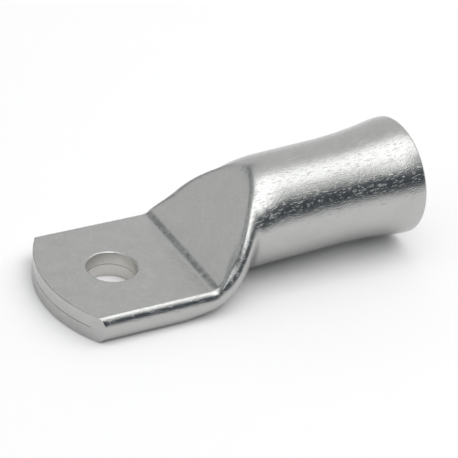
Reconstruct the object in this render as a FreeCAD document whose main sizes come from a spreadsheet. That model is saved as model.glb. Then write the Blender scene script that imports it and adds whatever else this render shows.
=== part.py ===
import FreeCAD, Part
import math
import os

from FreeCAD import Matrix, Placement, Rotation, Vector

# Tubular cable lug, in millimetres: one piece of copper tube, round and flared at the cable end,
# pressed flat at the other end into a palm with a hole for a stud.
# The origin is the centre of the stud hole on the palm's underside. +X runs from the palm to the
# cable entry, and +Z is the palm's upper side.

doc = FreeCAD.newDocument("cable_lug")

# Driving dimensions
sheet = doc.addObject("Spreadsheet::Sheet", "Sizes")
SIZES = [
    ("tube_diameter", 19.2, "outside of the round barrel"),
    ("wall_thickness", 2.4, "of the tube, and of each half of the palm"),
    ("seam_gap", 0.08, "left between the two pressed walls of the palm"),
    ("palm_width", 28.1, "across the flattened tube"),
    ("edge_depth", 1.5, "how far each rounded side edge of the palm reaches in"),
    ("nose_reach", 12.5, "from the hole's centre to the tip of the palm"),
    ("nose_radius", 23.0, "of the sheared end of the palm, seen from above"),
    ("hole_diameter", 8.4, "clearance hole for the stud"),
    ("rim_radius", 0.7, "of the rolled upper rim of the hole"),
    ("crease_distance", 13.7, "from the hole's centre to the fold at the foot of the ramp"),
    ("ramp_angle", 52.0, "of the flat ramp between palm and barrel, in degrees"),
    ("lead_in", 5.7, "before the fold, where the lower edges begin to rise"),
    ("crown_length", 4.3, "past the fold, where the flat crown has narrowed away"),
    ("taper_length", 9.9, "past the fold, where the sides have drawn in to the barrel"),
    ("ridge_length", 14.5, "past the fold, where the upper side has reached the barrel"),
    ("ridge_steepness", 2.2, "of the upper side's rise at the fold, against its mean"),
    ("barrel_lift", 0.5, "of the barrel's underside above the palm's, at the top of the ramp"),
    ("barrel_tilt", 2.6, "of the barrel, rising to the cable entry, in degrees"),
    ("barrel_length", 31.3, "from the top of the ramp to the cable entry"),
    ("flare_length", 15.5, "of the widened cable entry"),
    ("flare_rise", 1.15, "how far the flare widens the tube, on the radius"),
    ("flare_turn", 0.8, "share of the flare over which it opens, before it turns back"),
    ("lip_radius", 0.5, "of the rounded outer and inner edges of the entry"),
]
for row, (name, value, note) in enumerate(SIZES, start=1):
    sheet.set(f"A{row}", name)
    sheet.set(f"B{row}", str(value))
    sheet.set(f"C{row}", note)
    sheet.setAlias(f"B{row}", name)
doc.recompute()


def size(name):
    return float(sheet.get(name))


# Sizes that follow from the driving ones
wall = size("wall_thickness")
palm_thickness = 2 * wall + size("seam_gap")
half_palm = size("palm_width") / 2
flat_half = half_palm - size("edge_depth")
tube_radius = size("tube_diameter") / 2
crease = size("crease_distance")
tilt_degrees = size("barrel_tilt")
tilt = math.radians(tilt_degrees)
ramp_tangent = math.tan(math.radians(size("ramp_angle")))
slanted_radius = tube_radius / math.cos(tilt)
axis_height = size("barrel_lift") + slanted_radius
ramp_end = crease + (axis_height + slanted_radius - palm_thickness) / ramp_tangent
lead_start = crease - size("lead_in")
taper_end = crease + size("taper_length")
ridge_end = crease + size("ridge_length")
axis_start = Vector(ramp_end, 0, axis_height)
barrel_turn = Rotation(Vector(0, 1, 0), -tilt_degrees)
# The inner corner of a wall folded at the crease lies this much nearer to the barrel.
inner_crease = crease + wall * math.tan(math.radians(size("ramp_angle") / 2))

# How late the sides draw in and rise: powers of their shares of the way
TAPER_POWER = 1.55
SIDE_POWER = 1.4
# Numbers of steps between the sections of a loft, and its round sections' places past the ridge
LEAD_STEPS = 3
SHOULDER_STEPS = 8
ROUND_STEPS = (0.6, 2.4, 4.2)
LOFT_DEGREE = 3
# How far the shoulder's inner blank reaches past the outer one, so that the bore is cut through
OVERRUN = 1.5
# Half the angle of the flat crown and foot that every section keeps, and the least reach of its sides
CROWN_HALF_ANGLE = 2.0
LEAST_SIDE = 0.4
# Two places nearer than this are taken as one.
TOUCH = 0.01


def add_shape(name, shape):
    feature = doc.addObject("Part::Feature", name)
    feature.Shape = shape
    return feature


def add_bound(kind, name, expressions):
    feature = doc.addObject(kind, name)
    for target, expression in expressions.items():
        feature.setExpression(target, expression)
    return feature


def cut(name, base, tool):
    feature = doc.addObject("Part::Cut", name)
    feature.Base = base
    feature.Tool = tool
    return feature


def share_of(value, start, end):
    return min(max((value - start) / (end - start), 0.0), 1.0)


def smooth_step(share):
    return share * share * (3 - 2 * share)


def quarter_ellipse(centre_y, centre_z, reach_y, reach_z):
    """From straight above or below the centre to straight beside it, in the YZ plane."""
    half = math.sqrt(0.5)
    unit = Part.Arc(Vector(0, 0, 1), Vector(0, half, half), Vector(0, 1, 0)).toShape()
    stretch = Matrix(1, 0, 0, 0, 0, reach_y, 0, centre_y, 0, 0, reach_z, centre_z, 0, 0, 0, 1)
    return unit.transformGeometry(stretch)


def flat_section(half_width, side_height, low, high, crown_half, foot_half):
    """Outline in the YZ plane: flat crown and foot, and two quarter ellipses on each side."""
    above = high - side_height
    below = low - side_height
    crown_side = half_width - crown_half
    foot_side = half_width - foot_half
    outline = [Part.LineSegment(Vector(0, -crown_half, high), Vector(0, crown_half, high)).toShape()]
    outline.append(quarter_ellipse(crown_half, side_height, crown_side, above))
    outline.append(quarter_ellipse(foot_half, side_height, foot_side, below))
    outline.append(Part.LineSegment(Vector(0, foot_half, low), Vector(0, -foot_half, low)).toShape())
    outline.append(quarter_ellipse(-foot_half, side_height, -foot_side, below))
    outline.append(quarter_ellipse(-crown_half, side_height, -crown_side, above))
    return Part.Wire(outline)


def round_section(radius):
    """A circle in the YZ plane, cut at the same six places as the flat section."""
    crown = CROWN_HALF_ANGLE
    stops = (90 + crown, 90 - crown, 0, -90 + crown, -90 - crown, -180, -270 + crown)

    def point(degrees):
        angle = math.radians(degrees)
        return Vector(0, radius * math.cos(angle), radius * math.sin(angle))

    arcs = [Part.Arc(point(a), point((a + b) / 2), point(b)).toShape() for a, b in zip(stops, stops[1:])]
    return Part.Wire(arcs)


def ridge_rise(share):
    """Share of the upper side's rise: steep at the fold, level where it meets the barrel."""
    steep = size("ridge_steepness")
    return steep * share + (3 - 2 * steep) * share**2 + (steep - 2) * share**3


def skin_section(x, inset):
    """Outline at x of the tube's skin between palm and barrel, inset by a wall or by nothing."""
    fold = inner_crease if inset else crease
    barrel_rise = math.tan(tilt) * (x - ramp_end)
    axis = axis_height + barrel_rise
    middle = palm_thickness / 2

    drawn_in = smooth_step(share_of(x, crease, taper_end) ** TAPER_POWER)
    half_width = half_palm + (tube_radius - half_palm) * drawn_in - inset
    opened = share_of(x, lead_start, taper_end)
    side_height = middle + (axis - middle) * smooth_step(opened**SIDE_POWER)
    floor_rise = smooth_step(share_of(x, crease, ridge_end))
    low = inset + (size("barrel_lift") + barrel_rise) * floor_rise
    rise = ridge_rise(share_of(x, fold, ridge_end))
    high = palm_thickness - inset + (axis + slanted_radius - palm_thickness) * rise
    high = max(high, side_height + LEAST_SIDE)

    least = (tube_radius - inset) * math.sin(math.radians(CROWN_HALF_ANGLE))
    most = half_width - LEAST_SIDE
    crown_half = flat_half * (1 - smooth_step(share_of(x, crease, crease + size("crown_length"))))
    foot_half = flat_half * (1 - smooth_step(opened))
    crown_half = min(max(crown_half, least), most)
    foot_half = min(max(foot_half, least), most)
    section = flat_section(half_width, side_height, low, high, crown_half, foot_half)
    section.translate(Vector(x, 0, 0))
    return section


def evenly(start, end, steps):
    return [start + (end - start) * n / steps for n in range(steps + 1)]


def loft(sections):
    return Part.makeLoft(sections, True, False, False, LOFT_DEGREE)


def along_axis(distance):
    return axis_start + barrel_turn.multVec(Vector(distance, 0, 0))


round_places = [(ridge_end - ramp_end) / math.cos(tilt) + step for step in ROUND_STEPS]


def shoulder_stations(start):
    """Places of the flat sections: even steps to the ridge's end, the first of them halved."""
    first, second, *others = evenly(start, ridge_end, SHOULDER_STEPS)[:-1]
    return [first, (first + second) / 2, second, *others]


def shoulder(start, inset, places):
    """The solid from the fold at the palm's end to the last of the places along the round barrel."""
    sections = [skin_section(x, inset) for x in shoulder_stations(start)]
    for place in places:
        section = round_section(tube_radius - inset)
        section.Placement = Placement(along_axis(place), barrel_turn)
        sections.append(section)
    return loft(sections)


def above_ramp(foot_x, foot_z):
    """A block whose lower face is the ramp's plane, from its foot up."""
    reach = 2 * (ramp_end + tube_radius)
    block = Part.makeBox(reach, 2 * reach, reach, Vector(0, -reach, 0))
    block.Placement = Placement(Vector(foot_x, 0, foot_z), Rotation(Vector(0, 1, 0), -size("ramp_angle")))
    return block


# Palm: the flattened tube's section pushed along X, its end sheared to an arc
palm_blank = Part.Face(skin_section(lead_start, 0)).extrude(Vector(-lead_start - size("nose_reach"), 0, 0))

nose_shear = add_bound(
    "Part::Cylinder",
    "nose_shear",
    {
        "Radius": "Sizes.nose_radius",
        "Height": "2 * Sizes.wall_thickness + Sizes.seam_gap",
        "Placement.Base.x": "Sizes.nose_radius - Sizes.nose_reach",
    },
)
palm = doc.addObject("Part::Common", "palm")
palm.Base = add_shape("palm_blank", palm_blank)
palm.Tool = nose_shear

# Lead-in: the end of the palm, where its lower edges rise towards the barrel's sides
lead_in = add_shape("lead_in", loft([skin_section(x, 0) for x in evenly(lead_start, crease, LEAD_STEPS)]))

# Shoulder: the tube between palm and barrel, with a flat ramp pressed into its upper side
outside = shoulder(crease, 0, round_places)
outside = outside.cut(above_ramp(crease, palm_thickness))
inside = shoulder(inner_crease, wall, [*round_places, round_places[-1] + OVERRUN])
inside = inside.cut(above_ramp(inner_crease, palm_thickness - wall))
shoulder_tube = cut(
    "shoulder", add_shape("shoulder_outside", outside), add_shape("shoulder_inside", inside)
)

# Barrel: the round tube with its flared entry, turned about the tilted axis
bore_radius = tube_radius - wall
lip = size("lip_radius")
flare_start = size("barrel_length") - size("flare_length")
flare_end = size("barrel_length") - lip
flare_reach = flare_end - flare_start
flare_slope = size("flare_rise") / flare_reach


def along(distance, radius):
    return Vector(distance, 0, radius)


def half_arc(share):
    """Reach and rise halfway along one of the flare's two arcs, from where it is level."""
    arc_radius = share * flare_reach * (1 + flare_slope**2) / (2 * flare_slope)
    half_turn = math.atan(flare_slope)
    return arc_radius * math.sin(half_turn), arc_radius * (1 - math.cos(half_turn))


def flare_curves(radius):
    """Two tangent arcs from the straight tube out to where the lip begins."""
    turn = size("flare_turn")
    opening_reach, opening_rise = half_arc(turn)
    closing_reach, closing_rise = half_arc(1 - turn)
    start = along(flare_start, radius)
    joint = along(flare_start + turn * flare_reach, radius + turn * size("flare_rise"))
    end = along(flare_end, radius + size("flare_rise"))
    opening_middle = start + along(opening_reach, opening_rise)
    closing_middle = end - along(closing_reach, closing_rise)
    return [Part.Arc(start, opening_middle, joint), Part.Arc(joint, closing_middle, end)]


def lip_curve(radius, way):
    """A quarter round from the flare's end to the entry's face, way 1 outside and -1 inside."""
    half = lip * math.sqrt(0.5)
    return Part.Arc(
        along(flare_end, radius),
        along(flare_end + half, radius - way * (lip - half)),
        along(flare_end + lip, radius - way * lip),
    )


outer_mouth = tube_radius + size("flare_rise")
inner_mouth = bore_radius + size("flare_rise")
face_place = flare_end + lip
barrel_start = round_places[-1]
profile = [
    Part.LineSegment(along(barrel_start, bore_radius), along(barrel_start, tube_radius)),
    Part.LineSegment(along(barrel_start, tube_radius), along(flare_start, tube_radius)),
    *flare_curves(tube_radius),
    lip_curve(outer_mouth, 1),
    Part.LineSegment(along(face_place, outer_mouth - lip), along(face_place, inner_mouth + lip)),
    lip_curve(inner_mouth, -1),
    *flare_curves(bore_radius),
    Part.LineSegment(along(flare_start, bore_radius), along(barrel_start, bore_radius)),
]
profile_edges = Part.__sortEdges__([curve.toShape() for curve in profile])
barrel = doc.addObject("Part::Revolution", "barrel")
barrel.Source = add_shape("barrel_profile", Part.Wire(profile_edges))
barrel.Axis = Vector(1, 0, 0)
barrel.Solid = True
barrel.Placement = Placement(axis_start, barrel_turn)

tube = doc.addObject("Part::MultiFuse", "tube")
tube.Shapes = [palm, lead_in, shoulder_tube, barrel]
tube.Refine = True

# Seam: the narrow gap between the palm's two walls, open at the sheared end
seam = add_bound(
    "Part::Box",
    "seam",
    {
        "Length": "Sizes.nose_reach + Sizes.crease_distance"
        " + Sizes.wall_thickness * tan(Sizes.ramp_angle / 2)",
        "Width": "Sizes.palm_width - 2 * Sizes.wall_thickness",
        "Height": "Sizes.seam_gap",
        "Placement.Base.x": "-Sizes.nose_reach",
        "Placement.Base.y": "Sizes.wall_thickness - Sizes.palm_width / 2",
        "Placement.Base.z": "Sizes.wall_thickness",
    },
)
seamed = cut("seamed_tube", tube, seam)

# Stud hole, with the upper rim that the punch rolled over
stud_hole = add_bound(
    "Part::Cylinder",
    "stud_hole",
    {"Radius": "Sizes.hole_diameter / 2", "Height": "2 * Sizes.wall_thickness + Sizes.seam_gap"},
)
punched = cut("punched_tube", seamed, stud_hole)
doc.recompute()


def on_upper_rim(edge):
    box = edge.BoundBox
    level = abs(box.ZMin - palm_thickness) < TOUCH and box.ZLength < TOUCH
    return level and edge.Closed and math.hypot(box.Center.x, box.Center.y) < TOUCH


rim_edges = [n for n, edge in enumerate(punched.Shape.Edges, start=1) if on_upper_rim(edge)]
lug = doc.addObject("Part::Fillet", "lug")
lug.Base = punched
lug.Edges = [(n, size("rim_radius"), size("rim_radius")) for n in rim_edges]
lug.Label = "cable_lug"
doc.recompute()

for feature in doc.Objects:
    if {"Invalid", "Error"} & set(feature.State):
        raise RuntimeError(f"{feature.Name} failed: {feature.State}")
shape = lug.Shape
if shape.isNull() or not shape.isValid() or len(shape.Solids) != 1:
    raise RuntimeError(f"{lug.Label} isn't one valid solid")
os.makedirs("parts", exist_ok=True)
shape.Solids[0].exportStep(f"parts/{lug.Label}.step")
print(f"{lug.Label}: {shape.Volume:.1f} mm3")
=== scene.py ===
import math

import bmesh
import bpy
from mathutils import Euler, Matrix, Vector


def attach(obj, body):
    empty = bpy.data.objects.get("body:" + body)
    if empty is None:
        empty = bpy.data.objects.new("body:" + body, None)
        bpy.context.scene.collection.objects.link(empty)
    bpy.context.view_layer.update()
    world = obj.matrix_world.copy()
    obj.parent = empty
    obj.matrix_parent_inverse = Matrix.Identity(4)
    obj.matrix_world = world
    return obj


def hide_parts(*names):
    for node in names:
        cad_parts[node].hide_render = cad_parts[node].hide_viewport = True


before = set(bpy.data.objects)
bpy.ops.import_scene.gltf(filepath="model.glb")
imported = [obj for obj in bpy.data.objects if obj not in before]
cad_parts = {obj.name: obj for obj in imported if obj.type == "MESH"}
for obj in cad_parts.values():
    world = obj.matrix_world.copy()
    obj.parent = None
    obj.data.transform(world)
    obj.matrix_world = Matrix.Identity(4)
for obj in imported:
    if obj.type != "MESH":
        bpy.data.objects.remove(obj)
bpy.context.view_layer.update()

# A tubular cable lug, modelled the way the real one is made from one piece of tube. Half a ring is drawn out
# into half of the lug's shell, the ramp is pressed and the shell mirrored. Then the nose is sheared and the
# stud hole punched. The origin is the hole's centre under the palm, and +X runs to the cable entry.

# Lengths are millimetres in the values below, and MM turns them into Blender's metres.
MM = 0.001

# The tube and the palm. The sizes follow those that the solid is built from. The hole's edge and the
# shoulder's curves are refined a little to the photograph.
BARREL_RADIUS = 9.6
WALL = 2.4
BORE_RADIUS = BARREL_RADIUS - WALL
SEAM_GAP = 0.08
PALM_THICKNESS = 2 * WALL + SEAM_GAP
HALF_PALM = 14.05
EDGE_DEPTH = 1.5
PALM_FLAT = HALF_PALM - EDGE_DEPTH
NOSE_REACH = 12.5
NOSE_RADIUS = 23.0
NOSE_CENTRE = NOSE_RADIUS - NOSE_REACH
HOLE_RADIUS = 4.35
RIM_ROUNDING = 0.35
SHEARED_EDGE = 0.18

# The crease at the palm's end, and the flat ramp that is pressed from it up to the barrel.
CREASE = 13.7
CREASE_ROUNDING = 1.6
RAMP_ANGLE = math.radians(52)
RAMP_SLOPE = math.tan(RAMP_ANGLE)
RAMP_EDGE = 0.8
PRESS_STEPS = 6
INNER_CREASE = CREASE + WALL * math.tan(RAMP_ANGLE / 2)

# The barrel's own axis rises towards the cable entry. It starts above the ramp's upper end.
BARREL_LIFT = 0.5
BARREL_TILT = math.radians(2.6)
BARREL_LENGTH = 31.3
UPRIGHT_RADIUS = BARREL_RADIUS / math.cos(BARREL_TILT)
AXIS_HEIGHT = BARREL_LIFT + UPRIGHT_RADIUS
AXIS_START = CREASE + (AXIS_HEIGHT + UPRIGHT_RADIUS - PALM_THICKNESS) / RAMP_SLOPE

# The pressing starts just past the crease, and stops where the ramp has passed the barrel's top.
PRESS_START = CREASE + 0.2
PRESS_TOP = AXIS_HEIGHT + BARREL_RADIUS + RAMP_EDGE + 1.0

# The shoulder: where the width, the side line, the crown's and the foot's flats, the ridge and the belly
# change from the palm's to the barrel's. A power above 1 makes the change come later.
TAPER_START = 9.5
TAPER_END = 23.8
TAPER_POWER = 2.27
SIDE_START = 10.0
SIDE_END = 22.9
SIDE_POWER = 1.34
CROWN_END = 17.9
FOOT_START = 6.8
FOOT_END = 25.4
RIDGE_END = 29.4
RIDGE_STEEPNESS = 2.6
BELLY_END = 23.6
LEAST_SIDE = 0.4

# The flat that the inner wall keeps behind the ramp.
INNER_WIDEST = 14.8
INNER_END = 25.5
INNER_POWER = 1.3

# The flare, measured along the barrel's axis, and the rounding of its lip.
FLARE_REACH = 15.0
FLARE_RISE = 1.15
FLARE_TURN = 0.8
LIP_ROUNDING = 0.5
LIP_STEPS = 6
FLARE_END = BARREL_LENGTH - LIP_ROUNDING
FLARE_START = FLARE_END - FLARE_REACH

# How close the rings of the mesh stand, and how far the shell runs on past the nose before the shear.
RING_POINTS = 288
FIRST_RING = 4.8
OUTER_STEP = 0.5
SHOULDER_STEP = 0.25
SHOULDER_REACH = (CREASE - 1.5, 26.2)
INNER_STEP = 0.75
SEAM_STEP = 1.0
SHELL_END = -NOSE_REACH - 1.0

# The cutting tools.
TOOL_HEIGHT = 20.0
PUNCH_POINTS = 192
SHEAR_POINTS = 720
SHEAR_SIDE = 12.0
SHEAR_BACK = -30.0

# How near a point has to be to count as on a ring, on an edge, at a height or on the middle plane.
ON_RING = 0.001
ON_EDGE = 0.01
AT_SIDE = 1e-5
AT_PRESS = 1e-6
ON_MIDDLE = 1e-4

# How near two points have to be to become one, where the halves meet and all over, and how short an edge
# has to be to go.
HALVES_MERGE = 1e-4
MERGE = 2e-3
SLIVER = 1e-3

# The nose's edges have short pieces only, and lie this far out in the palm's section, from 0 to 1.
LONGEST_NOSE_PIECE = 1.0
SKIN_SHARE = 0.98

# The largest angle between two faces that is still shaded as one rounded surface.
SMOOTH_ANGLE = math.radians(32)

# The tin plate. Relief is in thousandths of a millimetre.
TIN_VALUES = {"Roughness": 0.19, "Roughness Change": 0.03, "Peel": 20.0, "Grain": 36.0, "Scratches": 18.0}
TIN_COLOUR = (0.475, 0.477, 0.468)
# The punched wall's colour is warmer, as a punched surface is, and also lighter than the tin: painted light
# that offsets the shade inside the stud hole.
HOLE_WALL_WARM_AND_LIGHTENED_COLOUR = (0.663, 0.652, 0.626)
PUNCHED_ROUGHNESS = 0.4

# The camera, fitted to the photograph's edges. Angles are degrees.
CAMERA_LENS = 156.841
CAMERA_FILM = 36.0
CAMERA_HEIGHT_ANGLE = 32.7323
CAMERA_SIDE_ANGLE = -32.4218
CAMERA_ROLL = 6.511
CAMERA_TARGET = (22.404, -0.556, 7.607)
CAMERA_BACK = (-0.087, 0.087, 347.99)

# The studio, in metres and degrees: a pale floor and surround, dark cards for the tin to mirror, two lights.
SURROUND = (0.80, 0.81, 0.805)
FLOOR_COLOUR = (0.98, 0.97, 0.975)
FLOOR_SIZE = (8, 8)
FLOOR_PLACE = (0, 0, -0.00003)
NEAR_DARK = (0.075, 0.09, 0.105)
FAR_DARK = (0.07, 0.09, 0.11)

# Each card's size, place, turn and colour, and each light's size, place and brightness.
DARK_CARDS = (
    ("front_card", (3.6, 1.05), (0.3, -1.15, 0.53), (90, 0, 0), NEAR_DARK),
    ("left_card", (0.42, 0.75), (-0.53, -0.35, 0.7), (0, 0, 0), NEAR_DARK),
    ("upper_card", (1.25, 0.34), (-0.38, 0.62, 0.7), (0, 0, 25.6), FAR_DARK),
    ("back_card", (0.5, 0.2), (-0.12, 1.0, 0.11), (90, 0, 0), FAR_DARK),
)
SOFT_LIGHTS = (
    ("main_light", (0.95, 0.69), (0.825, -0.075, 1.0), 1.2),
    ("left_light", (0.70, 1.35), (0.0, -0.425, 1.0), 1.57),
)


# Small helpers for working on the mesh that is open in edit mode.

def settle():
    """Leave edit mode, if it is on, and select nothing."""
    if bpy.context.mode != "OBJECT":
        bpy.ops.object.mode_set(mode="OBJECT")
    bpy.ops.object.select_all(action="DESELECT")


def hold(piece):
    """Select one piece alone and make it the active one."""
    settle()
    piece.select_set(True)
    bpy.context.view_layer.objects.active = piece


def open_mesh(piece):
    """Open one piece alone in edit mode."""
    hold(piece)
    bpy.ops.object.mode_set(mode="EDIT")


def open_shape():
    """The mesh that is open in edit mode."""
    return bmesh.from_edit_mesh(bpy.context.edit_object.data)


def pick_points(test):
    """Select the shown points whose place in millimetres passes the test, and say whether there are any."""
    bpy.ops.mesh.select_mode(type="VERT")
    shape = open_shape()
    found = False
    for point in shape.verts:
        point.select = not point.hide and test(*(point.co / MM))
        found = found or point.select
    shape.select_flush_mode()
    return found


def pick_edges(test):
    """Select the edges whose two ends pass the test, given in millimetres."""
    bpy.ops.mesh.select_mode(type="EDGE")
    bpy.ops.mesh.select_all(action="DESELECT")
    shape = open_shape()
    for edge in shape.edges:
        if test(edge.verts[0].co / MM, edge.verts[1].co / MM):
            edge.select = True
    shape.select_flush_mode()


def pick_faces(test):
    """Select the faces whose middle and normal pass the test, the middle given in millimetres."""
    bpy.ops.mesh.select_mode(type="FACE")
    bpy.ops.mesh.select_all(action="DESELECT")
    shape = open_shape()
    for face in shape.faces:
        if test(face.calc_center_median() / MM, face.normal):
            face.select = True
    shape.select_flush_mode()


def extrude(x=0.0, y=0.0, z=0.0):
    """Extrude what is selected by a step in millimetres."""
    step = (x * MM, y * MM, z * MM)
    bpy.ops.mesh.extrude_region_move(TRANSFORM_OT_translate={"value": step})


def shift(x=0.0, y=0.0, z=0.0):
    """Move what is selected by a step in millimetres."""
    bpy.ops.transform.translate(value=(x * MM, y * MM, z * MM))


def stretch(about, x=1.0, y=1.0, z=1.0):
    """Scale what is selected about a point in millimetres."""
    bpy.ops.transform.resize(value=(x, y, z), center_override=Vector(about) * MM)


def bevel(width, segments):
    """Bevel the selected edges by a width in millimetres."""
    bpy.ops.mesh.bevel(offset=width * MM, segments=segments, affect="EDGES", clamp_overlap=False)


def turn_outwards():
    """Make all faces of the open mesh point outwards."""
    bpy.ops.mesh.select_all(action="SELECT")
    bpy.ops.mesh.normals_make_consistent(inside=False)


def finish_modifier(piece, kind, **settings):
    """Add a modifier with its settings to a piece and apply it."""
    hold(piece)
    modifier = piece.modifiers.new(kind.title(), kind)
    for name, value in settings.items():
        setattr(modifier, name, value)
    bpy.ops.object.modifier_apply(modifier=modifier.name)


# The lug's outline, worked out across it at any distance from the stud hole.

def share(x, start, end):
    """How far x has come from start to end, from 0 to 1."""
    return min(max((x - start) / (end - start), 0.0), 1.0)


def eased(part):
    """A share that starts and ends level."""
    return part * part * (3 - 2 * part)


def ridge_climb(part):
    """How far the ridge has risen: steep at the crease and level where it meets the barrel."""
    steep = RIDGE_STEEPNESS
    return steep * part + (3 - 2 * steep) * part ** 2 + (steep - 2) * part ** 3


def axis_at(x):
    """The height of the barrel's axis at x."""
    return AXIS_HEIGHT + math.tan(BARREL_TILT) * (x - AXIS_START)


def fillet(first, second, reach):
    """The higher of two heights, with the corner rounded where they are within reach of each other."""
    near = max(reach - abs(first - second), 0.0) / reach
    return max(first, second) + near ** 2 * reach / 4


def pressed_height(x, inset):
    """The height that the pressing tool leaves: level over the palm, a rounded crease, then the ramp."""
    fold = CREASE + inset * math.tan(RAMP_ANGLE / 2)
    level = PALM_THICKNESS - inset
    return fillet(level, level + (x - fold) * RAMP_SLOPE, CREASE_ROUNDING)


def outline_at(x, inset=0.0):
    """The outline at x: half width, side height, low, high, half the crown's flat and half the foot's.

    The outer skin's outline is the one before pressing, and the inner skin's the one after it.
    """
    axis = axis_at(x)
    lift = axis - AXIS_HEIGHT
    narrowed = eased(share(x, TAPER_START, TAPER_END) ** TAPER_POWER)
    half_width = HALF_PALM + (BARREL_RADIUS - HALF_PALM) * narrowed - inset
    low = inset + BARREL_LIFT * eased(share(x, CREASE, BELLY_END))
    low += lift * eased(share(x, AXIS_START, RIDGE_END))
    barrel_rise = axis + UPRIGHT_RADIUS - PALM_THICKNESS
    ridge = PALM_THICKNESS - inset + barrel_rise * ridge_climb(share(x, CREASE, RIDGE_END))
    pressed = pressed_height(x, inset)
    if inset == 0.0:
        high = ridge + pressed - max(PALM_THICKNESS, PALM_THICKNESS + (x - CREASE) * RAMP_SLOPE)
        crown = PALM_FLAT * (1 - eased(share(x, CREASE, CROWN_END)))
    else:
        high = pressed if x < (CREASE + RIDGE_END) / 2 else min(pressed, ridge)
        crown = PALM_FLAT * (1 - share(x, INNER_WIDEST, INNER_END) ** INNER_POWER)
    middle = PALM_THICKNESS / 2
    side = middle + (axis - middle) * eased(share(x, SIDE_START, SIDE_END) ** SIDE_POWER)
    side = min(side, high - SEAM_GAP / 2)
    foot = PALM_FLAT * (1 - eased(share(x, FOOT_START, FOOT_END)))
    least = (BARREL_RADIUS - inset) * math.sin(2 * math.pi / RING_POINTS)
    most = half_width - LEAST_SIDE
    return half_width, side, low, high, min(max(crown, least), most), min(max(foot, least), most)


def flare_radius(along, start_radius):
    """The radius of the flared end at a place along the axis: two arcs that meet without a break."""
    if along <= FLARE_START:
        return start_radius
    reach, rise = FLARE_REACH * FLARE_TURN, FLARE_RISE * FLARE_TURN
    if along <= FLARE_START + reach:
        bend = (reach ** 2 + rise ** 2) / (2 * rise)
        return start_radius + bend - math.sqrt(bend ** 2 - (along - FLARE_START) ** 2)
    reach, rise = FLARE_REACH - reach, FLARE_RISE - rise
    bend = (reach ** 2 + rise ** 2) / (2 * rise)
    return start_radius + FLARE_RISE - bend + math.sqrt(bend ** 2 - (FLARE_END - along) ** 2)


def axis_point(along):
    """A point on the barrel's axis."""
    start = Vector((AXIS_START, 0, AXIS_HEIGHT))
    return start + along * Vector((math.cos(BARREL_TILT), 0, math.sin(BARREL_TILT)))


def places_between(start, end, step):
    """Evenly spaced places after start, up to and including end."""
    count = max(round(abs(end - start) / step), 1)
    return [start + (end - start) * n / count for n in range(1, count + 1)]


# The half shell: one half ring, drawn out ring by ring into the palm, the barrel and the bore.

def half_ring(along, radius):
    """Add a half circle across the barrel's axis and open it for editing."""
    settle()
    bpy.ops.mesh.primitive_circle_add(
        vertices=RING_POINTS, radius=radius * MM, location=axis_point(along) * MM,
        rotation=(0, math.radians(90) - BARREL_TILT, 0))
    piece = bpy.context.object
    bpy.ops.object.transform_apply(location=True, rotation=True, scale=True)
    open_mesh(piece)
    pick_points(lambda x, y, z: y < -ON_RING)
    bpy.ops.mesh.delete(type="VERT")
    bpy.ops.mesh.select_all(action="SELECT")
    return piece


def chosen_x():
    """The mean x of the selected points, in millimetres."""
    shape = open_shape()
    places = [point.co.x / MM for point in shape.verts if point.select]
    return sum(places) / len(places)


def choose_from(ring, chosen):
    """Of a ring's points select only the chosen ones."""
    for point in ring:
        point.select = False
    for point in chosen:
        point.select = True
    open_shape().select_flush_mode()


def draw_upright(x):
    """Draw the selected tilted half ring on to one that stands upright at x, still round the barrel."""
    ring_x = chosen_x()
    extrude(x=x - ring_x)
    stretch((x, 0, 0), x=0)
    shift(z=axis_at(x) - axis_at(ring_x))
    stretch((x, 0, axis_at(x)), z=1 / math.cos(BARREL_TILT) ** 2)


def draw_on(x, now, then):
    """Draw the selected half ring on to x and give it the outline there."""
    shape = open_shape()
    here = next(point.co.x for point in shape.verts if point.select) / MM
    extrude(x=x - here)
    # The mesh keeps its name below, because Blender forgets its points when the last name for it goes.
    shape = open_shape()
    ring = [point for point in shape.verts if point.select]
    half_width, side, low, high, crown, foot = now
    new_half_width, new_side, new_low, new_high, new_crown, new_foot = then
    upper = [point for point in ring if point.co.z / MM >= side - AT_SIDE]
    lower = [point for point in ring if point.co.z / MM < side - AT_SIDE]
    # Each quarter takes its new height. Its middle point stays on the centre line as the rest moves.
    for quarter, rise, new_rise, flat, new_flat in (
            (upper, high - side, new_high - new_side, crown, new_crown),
            (lower, side - low, new_side - new_low, foot, new_foot)):
        choose_from(ring, quarter)
        stretch((x, 0, side), z=new_rise / rise)
        shift(z=new_side - side)
        choose_from(ring, [point for point in quarter if point.co.y / MM > ON_MIDDLE])
        stretch((x, flat, 0), y=(new_half_width - new_flat) / (half_width - flat))
        shift(y=new_flat - flat)
    choose_from(ring, ring)


def draw_through(places, inset):
    """Draw the selected half ring, which stands at the ridge's end, on through a list of places."""
    now = outline_at(RIDGE_END, inset)
    for x in places:
        then = outline_at(x, inset)
        draw_on(x, now, then)
        now = then


def draw_along(rings, along, radius):
    """Draw the selected half ring on along the barrel's axis through a list of places and radii."""
    for new_along, new_radius in rings:
        extrude(*(axis_point(new_along) - axis_point(along)))
        part = new_radius / radius
        stretch(axis_point(new_along), x=part, y=part, z=part)
        along, radius = new_along, new_radius


def draw_to_nose():
    """Draw the shown skin's last ring straight on, past the nose."""
    pick_points(lambda x, y, z: abs(x - FOOT_START) < ON_RING)
    extrude(x=SHELL_END - FOOT_START)


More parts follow.
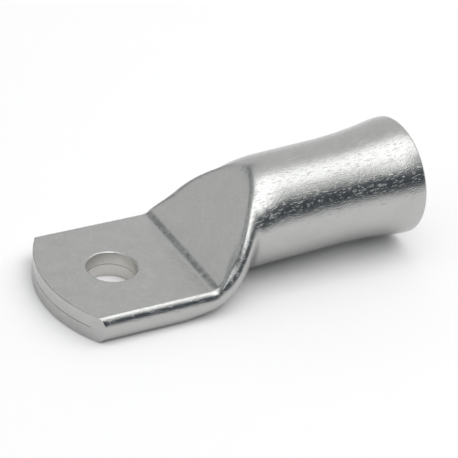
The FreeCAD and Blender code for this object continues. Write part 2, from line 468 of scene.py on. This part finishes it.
def press_ramp(places):
    """Press the rings past the crease down to the ramp, with a rounded edge to the pressed flat."""
    for x in places:
        level = pressed_height(x, 0.0)
        if x < PRESS_START or level > PRESS_TOP:
            continue
        height = level - RAMP_EDGE * (1 - 1 / PRESS_STEPS)
        slope = 1.0
        # Each step leaves less of the slope above it, and the last one leaves none.
        for step in range(1, PRESS_STEPS + 1):
            new_slope = 1 - step / PRESS_STEPS
            if pick_points(lambda px, py, pz: abs(px - x) < ON_RING and pz > height + AT_PRESS):
                stretch((x, 0, height), z=new_slope / slope)
            slope = new_slope
            height += 2 * RAMP_EDGE * slope / PRESS_STEPS


def draw_outside():
    """From the barrel down over the ridge and out along the palm, past the nose."""
    close_start, close_end = SHOULDER_REACH
    draw_upright(RIDGE_END)
    places = places_between(RIDGE_END, close_end, OUTER_STEP)
    places += places_between(close_end, close_start, SHOULDER_STEP)
    places += places_between(close_start, FOOT_START, OUTER_STEP)
    draw_through(places, 0.0)
    press_ramp(places)
    draw_to_nose()
    pick_points(lambda x, y, z: x < RIDGE_END + ON_EDGE)
    bpy.ops.mesh.hide(unselected=False)


def draw_entry():
    """From the first ring along the barrel, over the flare, round the lip and back down the bore."""
    first = axis_point(FIRST_RING)
    cosine, sine = math.cos(BARREL_TILT), math.sin(BARREL_TILT)
    pick_points(lambda x, y, z: abs((x - first.x) * cosine + (z - first.z) * sine) < ON_RING)
    flare = [FLARE_START] + places_between(FLARE_START, FLARE_END, OUTER_STEP)
    rings = [(along, flare_radius(along, BARREL_RADIUS)) for along in flare]
    lip = []
    for n in range(1, LIP_STEPS + 1):
        turn = math.radians(90) * n / LIP_STEPS
        lip.append((BARREL_LENGTH - LIP_ROUNDING * (1 - math.sin(turn)),
                    BARREL_RADIUS + FLARE_RISE - LIP_ROUNDING * (1 - math.cos(turn))))
    both_walls = BARREL_RADIUS + BORE_RADIUS + 2 * FLARE_RISE
    rings += lip
    rings += [(along, both_walls - radius) for along, radius in reversed(lip)]
    rings.append((FLARE_END, BORE_RADIUS + FLARE_RISE))
    back = places_between(FLARE_END, FLARE_START, INNER_STEP)
    rings += [(along, flare_radius(along, BORE_RADIUS)) for along in back]
    rings.append((FIRST_RING, BORE_RADIUS))
    draw_along(rings, FIRST_RING, BARREL_RADIUS)


def draw_inside():
    """From the bore on under the ridge, and out between the two pressed walls, past the nose."""
    draw_upright(RIDGE_END)
    places = places_between(RIDGE_END, INNER_CREASE, INNER_STEP)
    places += places_between(INNER_CREASE, FOOT_START, SEAM_STEP)
    draw_through(places, WALL)
    draw_to_nose()
    bpy.ops.mesh.reveal(select=False)


def make_half_shell():
    """Half of the lug's skin, outside and inside, open at the nose and along the middle."""
    piece = half_ring(FIRST_RING, BARREL_RADIUS)
    piece.name = "lug_body"
    draw_outside()
    draw_entry()
    draw_inside()
    return piece


def close_shell(piece):
    """Close the nose end between the two skins, and mirror the half shell into a whole one."""
    open_mesh(piece)
    pick_edges(lambda a, b: abs(a.x - SHELL_END) < ON_RING and abs(b.x - SHELL_END) < ON_RING)
    bpy.ops.mesh.bridge_edge_loops()
    finish_modifier(piece, "MIRROR", use_axis=(False, True, False), merge_threshold=HALVES_MERGE * MM)
    open_mesh(piece)
    bpy.ops.mesh.select_all(action="SELECT")
    bpy.ops.mesh.remove_doubles(threshold=MERGE * MM)
    bpy.ops.mesh.dissolve_degenerate(threshold=SLIVER * MM)
    turn_outwards()
    settle()


# The shear and the punch.

def cut(piece, tool):
    """Cut a piece with a tool, which then goes."""
    finish_modifier(piece, "BOOLEAN", object=tool, operation="DIFFERENCE", solver="EXACT")
    bpy.data.objects.remove(tool, do_unlink=True)


def nose_shear():
    """The shearing tool, hollowed on its working side to the arc of the nose."""
    settle()
    bpy.ops.mesh.primitive_circle_add(
        vertices=SHEAR_POINTS, radius=NOSE_RADIUS * MM,
        location=(NOSE_CENTRE * MM, 0, -TOOL_HEIGHT / 2 * MM))
    tool = bpy.context.object
    bpy.ops.object.transform_apply(location=True, rotation=True, scale=True)
    open_mesh(tool)
    pick_points(lambda x, y, z: x > NOSE_CENTRE - SHEAR_SIDE)
    bpy.ops.mesh.delete(type="VERT")
    bpy.ops.mesh.select_all(action="SELECT")
    extrude(x=SHEAR_BACK)
    stretch((SHEAR_BACK, 0, 0), x=0)
    bpy.ops.mesh.select_all(action="SELECT")
    extrude(z=TOOL_HEIGHT)
    turn_outwards()
    settle()
    return tool


def on_nose(place):
    """Whether a point lies on the sheared face of the nose."""
    return abs(math.hypot(place.x - NOSE_CENTRE, place.y) - NOSE_RADIUS) < ON_EDGE


def on_outer_skin(place):
    """Whether a point of the nose lies on the palm's outer skin."""
    half_width, side, low, high, crown, foot = outline_at(FOOT_START)
    rise = high - side if place.z >= side else side - low
    across = max(abs(place.y) - crown, 0.0) / (half_width - crown)
    return math.hypot(across, (place.z - side) / rise) > SKIN_SHARE


def on_nose_edge(place):
    """Whether a point lies on the nose's upper or lower edge, between the palm's rounded sides."""
    return on_nose(place) and on_outer_skin(place) and abs(place.y) < PALM_FLAT + 0.05


def break_nose_edges(piece):
    """Take the sharpness off the sheared nose, above and below."""
    open_mesh(piece)
    pick_edges(lambda a, b: on_nose_edge(a) and on_nose_edge(b) and (a - b).length < LONGEST_NOSE_PIECE)
    bevel(SHEARED_EDGE, 3)
    settle()


def hole_punch():
    """The punch for the stud hole."""
    settle()
    bpy.ops.mesh.primitive_cylinder_add(
        vertices=PUNCH_POINTS, radius=HOLE_RADIUS * MM, depth=TOOL_HEIGHT * MM)
    return bpy.context.object


def on_rim(place, height):
    """Whether a point lies on the stud hole's edge at a height."""
    return abs(math.hypot(place.x, place.y) - HOLE_RADIUS) < ON_EDGE and abs(place.z - height) < ON_EDGE


def round_rims(piece):
    """Round the stud hole's upper rim, and take the sharpness off the lower one."""
    open_mesh(piece)
    for height, width, steps in ((PALM_THICKNESS, RIM_ROUNDING, 5), (0.0, SHEARED_EDGE, 2)):
        pick_edges(lambda a, b: on_rim(a, height) and on_rim(b, height))
        bevel(width, steps)
    settle()


def smooth_shading(piece):
    """Shade the rounded surfaces smoothly and keep the flats flat."""
    hold(piece)
    bpy.ops.object.shade_smooth_by_angle(angle=SMOOTH_ANGLE)
    finish_modifier(piece, "WEIGHTED_NORMAL", keep_sharp=True)


def make_lug():
    """The whole lug, from the drawn shell to the smooth finished piece."""
    piece = make_half_shell()
    close_shell(piece)
    cut(piece, nose_shear())
    break_nose_edges(piece)
    cut(piece, hole_punch())
    round_rims(piece)
    smooth_shading(piece)
    return piece


# The tin plate.

def add_node(tree, kind, place, **settings):
    """Add a shader node at a place in the node editor."""
    node = tree.nodes.new(kind)
    node.location = place
    for name, value in settings.items():
        setattr(node, name, value)
    return node


def noise(tree, coordinates, scale, detail, place):
    """A noise over the surface, with its scale in steps per millimetre."""
    node = add_node(tree, "ShaderNodeTexNoise", place)
    node.inputs["Scale"].default_value = scale / MM
    node.inputs["Detail"].default_value = detail
    tree.links.new(coordinates, node.inputs["Vector"])
    return node.outputs["Fac"]


def ranged(tree, value, low, high, out_low, out_high, place):
    """A value brought from one range to another."""
    node = add_node(tree, "ShaderNodeMapRange", place)
    for name, number in (("From Min", low), ("From Max", high), ("To Min", out_low), ("To Max", out_high)):
        node.inputs[name].default_value = number
    tree.links.new(value, node.inputs["Value"])
    return node.outputs["Result"]


def join(tree, first, second, place, operation="ADD"):
    """Two values added, or put together another way."""
    node = add_node(tree, "ShaderNodeMath", place, operation=operation)
    tree.links.new(first, node.inputs[0])
    tree.links.new(second, node.inputs[1])
    return node.outputs["Value"]


def handling_scratches(group, coordinates):
    """Short thin lines in two directions, as lugs get from rubbing on each other in a box."""
    lines = []
    for number, (turn, tilt) in enumerate(((28, 20), (-47, -35))):
        row = -300 - 300 * number
        mapping = add_node(group, "ShaderNodeMapping", (-1200, row))
        mapping.inputs["Rotation"].default_value = (math.radians(tilt), 0, math.radians(turn))
        mapping.inputs["Scale"].default_value = (0.9, 7.0, 0.9)
        group.links.new(coordinates, mapping.inputs["Vector"])
        streak = noise(group, mapping.outputs["Vector"], 1.0, 1.0, (-1000, row))
        lines.append(ranged(group, streak, 0.66, 0.72, 0.0, 1.0, (-800, row)))
    return join(group, lines[0], lines[1], (-600, -400), "MAXIMUM")


def tin_surface_group():
    """What tin plate shows: a mottled tone, a soft peel, fine grain and short handling scratches."""
    group = bpy.data.node_groups.new("tin_surface", "ShaderNodeTree")
    for name, value in TIN_VALUES.items():
        socket = group.interface.new_socket(name=name, in_out="INPUT", socket_type="NodeSocketFloat")
        socket.default_value = value
    for name in ("Tone", "Roughness", "Height"):
        group.interface.new_socket(name=name, in_out="OUTPUT", socket_type="NodeSocketFloat")
    given = add_node(group, "NodeGroupInput", (-1400, 0)).outputs
    made = add_node(group, "NodeGroupOutput", (900, 0)).inputs
    coordinates = add_node(group, "ShaderNodeTexCoord", (-1400, 400)).outputs["Object"]

    mottle = noise(group, coordinates, 0.35, 3.0, (-1000, 600))
    speckle = noise(group, coordinates, 2.6, 2.0, (-1000, 400))
    tone = ranged(group, mottle, 0.3, 0.7, 0.965, 1.02, (-700, 600))
    flecks = ranged(group, speckle, 0.3, 0.7, -0.02, 0.02, (-700, 400))
    group.links.new(join(group, tone, flecks, (-400, 500)), made["Tone"])

    swing = ranged(group, mottle, 0.3, 0.7, -1.0, 1.0, (-700, 200))
    swing = join(group, swing, given["Roughness Change"], (-400, 200), "MULTIPLY")
    group.links.new(join(group, swing, given["Roughness"], (-100, 200)), made["Roughness"])

    peel = noise(group, coordinates, 0.8, 1.0, (-1000, 200))
    grain = noise(group, coordinates, 5.5, 1.0, (-1000, 0))
    scratches = handling_scratches(group, coordinates)
    height = join(group, peel, given["Peel"], (-400, 0), "MULTIPLY")
    fine = join(group, grain, given["Grain"], (-400, -200), "MULTIPLY")
    depth = join(group, scratches, given["Scratches"], (-400, -400), "MULTIPLY")
    height = join(group, height, fine, (-100, -100))
    group.links.new(join(group, height, depth, (200, -200), "SUBTRACT"), made["Height"])
    return group


def tin_material(name, surface, colour, values):
    """Tin plate with its own colour, and with its own values in place of the surface's where it has any."""
    material = bpy.data.materials.new(name)
    material.use_nodes = True
    tree = material.node_tree
    shader = tree.nodes["Principled BSDF"]
    shader.inputs["Metallic"].default_value = 1.0
    finish = add_node(tree, "ShaderNodeGroup", (-900, 0), node_tree=surface)
    for key, value in values.items():
        finish.inputs[key].default_value = value
    tint = add_node(tree, "ShaderNodeMix", (-500, 200), data_type="RGBA", blend_type="MULTIPLY")
    tint.inputs["Factor"].default_value = 1.0
    tint.inputs["A"].default_value = (*colour, 1.0)
    tree.links.new(finish.outputs["Tone"], tint.inputs["B"])
    tree.links.new(tint.outputs["Result"], shader.inputs["Base Color"])
    tree.links.new(finish.outputs["Roughness"], shader.inputs["Roughness"])
    bump = add_node(tree, "ShaderNodeBump", (-500, -200))
    bump.inputs["Strength"].default_value = 1.0
    bump.inputs["Distance"].default_value = 0.001 * MM
    tree.links.new(finish.outputs["Height"], bump.inputs["Height"])
    tree.links.new(bump.outputs["Normal"], shader.inputs["Normal"])
    return material


def plate_lug(piece):
    """Tin plate all over, and on the punched wall of the stud hole a warmer, rougher tin that is also painted
    lighter, as painted light against the shade inside the hole.
    """
    surface = tin_surface_group()
    piece.data.materials.append(tin_material("tin_plate", surface, TIN_COLOUR, {}))
    # This tin is warmer and rougher like a punched surface, and also painted lighter to offset the shade
    # inside the hole.
    hole_wall_lightened = tin_material("hole_wall_tin_painted_lighter", surface, HOLE_WALL_WARM_AND_LIGHTENED_COLOUR, {"Roughness": PUNCHED_ROUGHNESS})
    piece.data.materials.append(hole_wall_lightened)
    open_mesh(piece)
    pick_faces(lambda p, n: math.hypot(p.x, p.y) < HOLE_RADIUS + 0.1 and abs(n.z) < 0.5)
    piece.active_material_index = 1
    bpy.ops.object.material_slot_assign()
    settle()


# Camera and studio.

def make_camera():
    """The camera, where the photograph was taken from."""
    data = bpy.data.cameras.new("camera")
    data.sensor_fit = "HORIZONTAL"
    data.sensor_width = CAMERA_FILM
    data.lens = CAMERA_LENS
    camera = bpy.data.objects.new("camera", data)
    bpy.context.scene.collection.objects.link(camera)
    tilt, side = math.radians(90 - CAMERA_HEIGHT_ANGLE), math.radians(CAMERA_SIDE_ANGLE)
    turn = Euler((tilt, 0, side), "XYZ").to_matrix().to_4x4()
    roll = Matrix.Rotation(math.radians(CAMERA_ROLL), 4, "Z")
    target = Matrix.Translation(Vector(CAMERA_TARGET) * MM)
    back = Matrix.Translation(Vector(CAMERA_BACK) * MM)
    camera.matrix_world = target @ turn @ roll @ back
    bpy.context.scene.camera = camera


def matt_paint(name, colour):
    """A matt paint for the floor or a studio card."""
    material = bpy.data.materials.new(name)
    material.use_nodes = True
    shader = material.node_tree.nodes["Principled BSDF"]
    shader.inputs["Base Color"].default_value = (*colour, 1)
    shader.inputs["Roughness"].default_value = 1.0
    shader.inputs["Specular IOR Level"].default_value = 0.0
    return material


def make_card(name, size, place, turn, material):
    """A flat sheet of the studio: the floor or a card, with its turn in degrees."""
    settle()
    bpy.ops.mesh.primitive_plane_add(size=1, location=place, rotation=[math.radians(angle) for angle in turn])
    card = bpy.context.object
    card.name = name
    card.scale = (*size, 1)
    bpy.ops.object.transform_apply(location=True, rotation=True, scale=True)
    card.data.materials.append(material)
    return card


def make_light(name, size, place, brightness):
    """A soft light that hangs level and shines down."""
    light = bpy.data.lights.new(name, "AREA")
    light.shape = "RECTANGLE"
    light.size, light.size_y = size
    light.energy = brightness * math.pi * size[0] * size[1]
    panel = bpy.data.objects.new(name, light)
    panel.location = place
    bpy.context.scene.collection.objects.link(panel)


def make_studio():
    """The even surround, the pale floor, the dark cards that only the tin sees, and the soft lights."""
    scene = bpy.context.scene
    scene.view_settings.view_transform = "Standard"
    scene.world = bpy.data.worlds.new("studio")
    scene.world.use_nodes = True
    scene.world.node_tree.nodes["Background"].inputs["Color"].default_value = (*SURROUND, 1)
    make_card("floor", FLOOR_SIZE, FLOOR_PLACE, (0, 0, 0), matt_paint("pale_floor", FLOOR_COLOUR))
    for name, size, place, turn, colour in DARK_CARDS:
        card = make_card(name, size, place, turn, matt_paint(name, colour))
        card.visible_camera = False
    for name, size, place, brightness in SOFT_LIGHTS:
        make_light(name, size, place, brightness)


make_camera()
make_studio()
lug = make_lug()
plate_lug(lug)
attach(lug, "root")
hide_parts("cable_lug")
